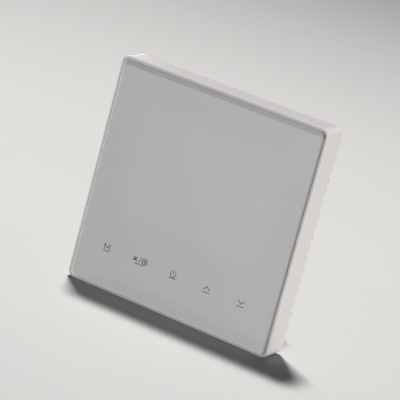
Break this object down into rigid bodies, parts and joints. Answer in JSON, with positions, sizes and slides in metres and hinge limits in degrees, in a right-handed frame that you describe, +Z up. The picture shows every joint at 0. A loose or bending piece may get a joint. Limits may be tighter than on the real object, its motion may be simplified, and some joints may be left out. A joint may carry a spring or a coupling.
{
  "type": "wall thermostat",
  "caption": "Square wall thermostat with a flush grey glass touch front, vented white case, steel wall plate and a rear module with screw terminals.",
  "frame": {"origin": "centre of the two wall screws, in the wall plane that the plate's rear face lies on", "axes": "+X right as seen from the room, +Y into the wall, +Z up as installed; the glass faces -Y"},
  "size_m": [0.086, 0.0376, 0.086],
  "materials": {
    "black_epoxy": "moulded package",
    "black_nylon": "moulded nylon",
    "blue_epoxy": "dipped epoxy",
    "brown_epoxy": "moulded fuse body",
    "capacitor_sleeve": "shrink sleeve",
    "ceramic": "ceramic chips",
    "clamp_steel": "zinc plated",
    "clear_glass": "polished clear tempered glass, flush in the case, with a fine arris",
    "diffuser": "translucent white film",
    "ferrite": "ferrite",
    "gold_pins": "gold flashed",
    "green_board": "green solder mask",
    "grey_print": "light grey screen print on the back of the glass",
    "label_paper": "blank label",
    "lcd_glass": "display glass with polariser",
    "led_white": "white LED package",
    "legend_ink": "translucent grey ink",
    "light_guide": "clear acrylic with white dots",
    "relay_case": "sealed relay case",
    "screw_steel": "zinc plated",
    "sensor_epoxy": "dipped epoxy bead",
    "spring_steel": "bright spring wire",
    "tape": "black double-sided tape",
    "terminal_green": "moulded polyamide",
    "terminal_screw": "zinc plated",
    "tinned_brass": "tin plated",
    "tinned_metal": "tinned",
    "white_case": "satin white moulded plastic",
    "white_housing": "fine textured white plastic",
    "yellow_tape": "insulating tape",
    "zinc_plate": "galvanised sheet"
  },
  "bodies": {
    "rear_module": {"mounting_plate": "zinc_plate", "rear_housing": "white_housing", "housing_cover": "white_housing", "housing_screws": "screw_steel", "power_board": "green_board", "power_board_screws": "screw_steel", "relays": "relay_case", "transformer_core": "ferrite", "transformer_bobbin": "black_nylon", "transformer_winding": "yellow_tape", "bulk_capacitor": "capacitor_sleeve", "output_capacitor": "capacitor_sleeve", "varistor": "blue_epoxy", "varistor_leads": "tinned_metal", "fuse": "brown_epoxy", "link_socket": "black_nylon", "terminal_block": "terminal_green", "terminal_contacts": "tinned_brass", "rating_label": "label_paper"},
    "front_unit": {"front_case": "white_case", "glass_panel": "clear_glass", "panel_print": "grey_print", "key_legends": "legend_ink", "bonding_tape": "tape", "lcd_glass": "lcd_glass", "lcd_pins": "tinned_metal", "diffuser_film": "diffuser", "backlight_guide": "light_guide", "backlight_leds": "led_white", "display_board": "green_board", "board_screws": "screw_steel", "touch_springs": "spring_steel", "key_leds": "led_white", "controller_chip": "black_epoxy", "chip_leads": "tinned_metal", "board_passives": "ceramic", "room_sensor": "sensor_epoxy", "link_header": "black_nylon", "link_pins": "gold_pins"},
    "screw_1": {"terminal_screw_1": "terminal_screw"},
    "clamp_1": {"terminal_clamp_1": "clamp_steel"},
    "screw_2": {"terminal_screw_2": "terminal_screw"},
    "clamp_2": {"terminal_clamp_2": "clamp_steel"},
    "screw_3": {"terminal_screw_3": "terminal_screw"},
    "clamp_3": {"terminal_clamp_3": "clamp_steel"},
    "screw_4": {"terminal_screw_4": "terminal_screw"},
    "clamp_4": {"terminal_clamp_4": "clamp_steel"},
    "screw_5": {"terminal_screw_5": "terminal_screw"},
    "clamp_5": {"terminal_clamp_5": "clamp_steel"},
    "screw_6": {"terminal_screw_6": "terminal_screw"},
    "clamp_6": {"terminal_clamp_6": "clamp_steel"},
    "screw_7": {"terminal_screw_7": "terminal_screw"},
    "clamp_7": {"terminal_clamp_7": "clamp_steel"},
    "screw_8": {"terminal_screw_8": "terminal_screw"},
    "clamp_8": {"terminal_clamp_8": "clamp_steel"}
  },
  "joints": [
    {"name": "front_unit_pull", "type": "slide", "parent": "rear_module", "child": "front_unit", "axis": [0, -1, 0], "range_m": [0, 0.03]},
    {"name": "terminal_screw_turn_1", "type": "hinge", "parent": "rear_module", "child": "screw_1", "pos_m": [-0.0175, 0.016, -0.0206], "axis": [0, -1, 0], "range_deg": [0, 1440]},
    {"name": "terminal_clamp_rise_1", "type": "slide", "parent": "rear_module", "child": "clamp_1", "axis": [0, 1, 0], "range_m": [0, 0.002]},
    {"name": "terminal_screw_turn_2", "type": "hinge", "parent": "rear_module", "child": "screw_2", "pos_m": [-0.0125, 0.016, -0.0206], "axis": [0, -1, 0], "range_deg": [0, 1440]},
    {"name": "terminal_clamp_rise_2", "type": "slide", "parent": "rear_module", "child": "clamp_2", "axis": [0, 1, 0], "range_m": [0, 0.002]},
    {"name": "terminal_screw_turn_3", "type": "hinge", "parent": "rear_module", "child": "screw_3", "pos_m": [-0.0075, 0.016, -0.0206], "axis": [0, -1, 0], "range_deg": [0, 1440]},
    {"name": "terminal_clamp_rise_3", "type": "slide", "parent": "rear_module", "child": "clamp_3", "axis": [0, 1, 0], "range_m": [0, 0.002]},
    {"name": "terminal_screw_turn_4", "type": "hinge", "parent": "rear_module", "child": "screw_4", "pos_m": [-0.0025, 0.016, -0.0206], "axis": [0, -1, 0], "range_deg": [0, 1440]},
    {"name": "terminal_clamp_rise_4", "type": "slide", "parent": "rear_module", "child": "clamp_4", "axis": [0, 1, 0], "range_m": [0, 0.002]},
    {"name": "terminal_screw_turn_5", "type": "hinge", "parent": "rear_module", "child": "screw_5", "pos_m": [0.0025, 0.016, -0.0206], "axis": [0, -1, 0], "range_deg": [0, 1440]},
    {"name": "terminal_clamp_rise_5", "type": "slide", "parent": "rear_module", "child": "clamp_5", "axis": [0, 1, 0], "range_m": [0, 0.002]},
    {"name": "terminal_screw_turn_6", "type": "hinge", "parent": "rear_module", "child": "screw_6", "pos_m": [0.0075, 0.016, -0.0206], "axis": [0, -1, 0], "range_deg": [0, 1440]},
    {"name": "terminal_clamp_rise_6", "type": "slide", "parent": "rear_module", "child": "clamp_6", "axis": [0, 1, 0], "range_m": [0, 0.002]},
    {"name": "terminal_screw_turn_7", "type": "hinge", "parent": "rear_module", "child": "screw_7", "pos_m": [0.0125, 0.016, -0.0206], "axis": [0, -1, 0], "range_deg": [0, 1440]},
    {"name": "terminal_clamp_rise_7", "type": "slide", "parent": "rear_module", "child": "clamp_7", "axis": [0, 1, 0], "range_m": [0, 0.002]},
    {"name": "terminal_screw_turn_8", "type": "hinge", "parent": "rear_module", "child": "screw_8", "pos_m": [0.0175, 0.016, -0.0206], "axis": [0, -1, 0], "range_deg": [0, 1440]},
    {"name": "terminal_clamp_rise_8", "type": "slide", "parent": "rear_module", "child": "clamp_8", "axis": [0, 1, 0], "range_m": [0, 0.002]}
  ],
  "couplings": [
    {"joint": "terminal_screw_turn_1", "follows": "terminal_clamp_rise_1", "rad_per_m": 12566},
    {"joint": "terminal_screw_turn_2", "follows": "terminal_clamp_rise_2", "rad_per_m": 12566},
    {"joint": "terminal_screw_turn_3", "follows": "terminal_clamp_rise_3", "rad_per_m": 12566},
    {"joint": "terminal_screw_turn_4", "follows": "terminal_clamp_rise_4", "rad_per_m": 12566},
    {"joint": "terminal_screw_turn_5", "follows": "terminal_clamp_rise_5", "rad_per_m": 12566},
    {"joint": "terminal_screw_turn_6", "follows": "terminal_clamp_rise_6", "rad_per_m": 12566},
    {"joint": "terminal_screw_turn_7", "follows": "terminal_clamp_rise_7", "rad_per_m": 12566},
    {"joint": "terminal_screw_turn_8", "follows": "terminal_clamp_rise_8", "rad_per_m": 12566}
  ]
}
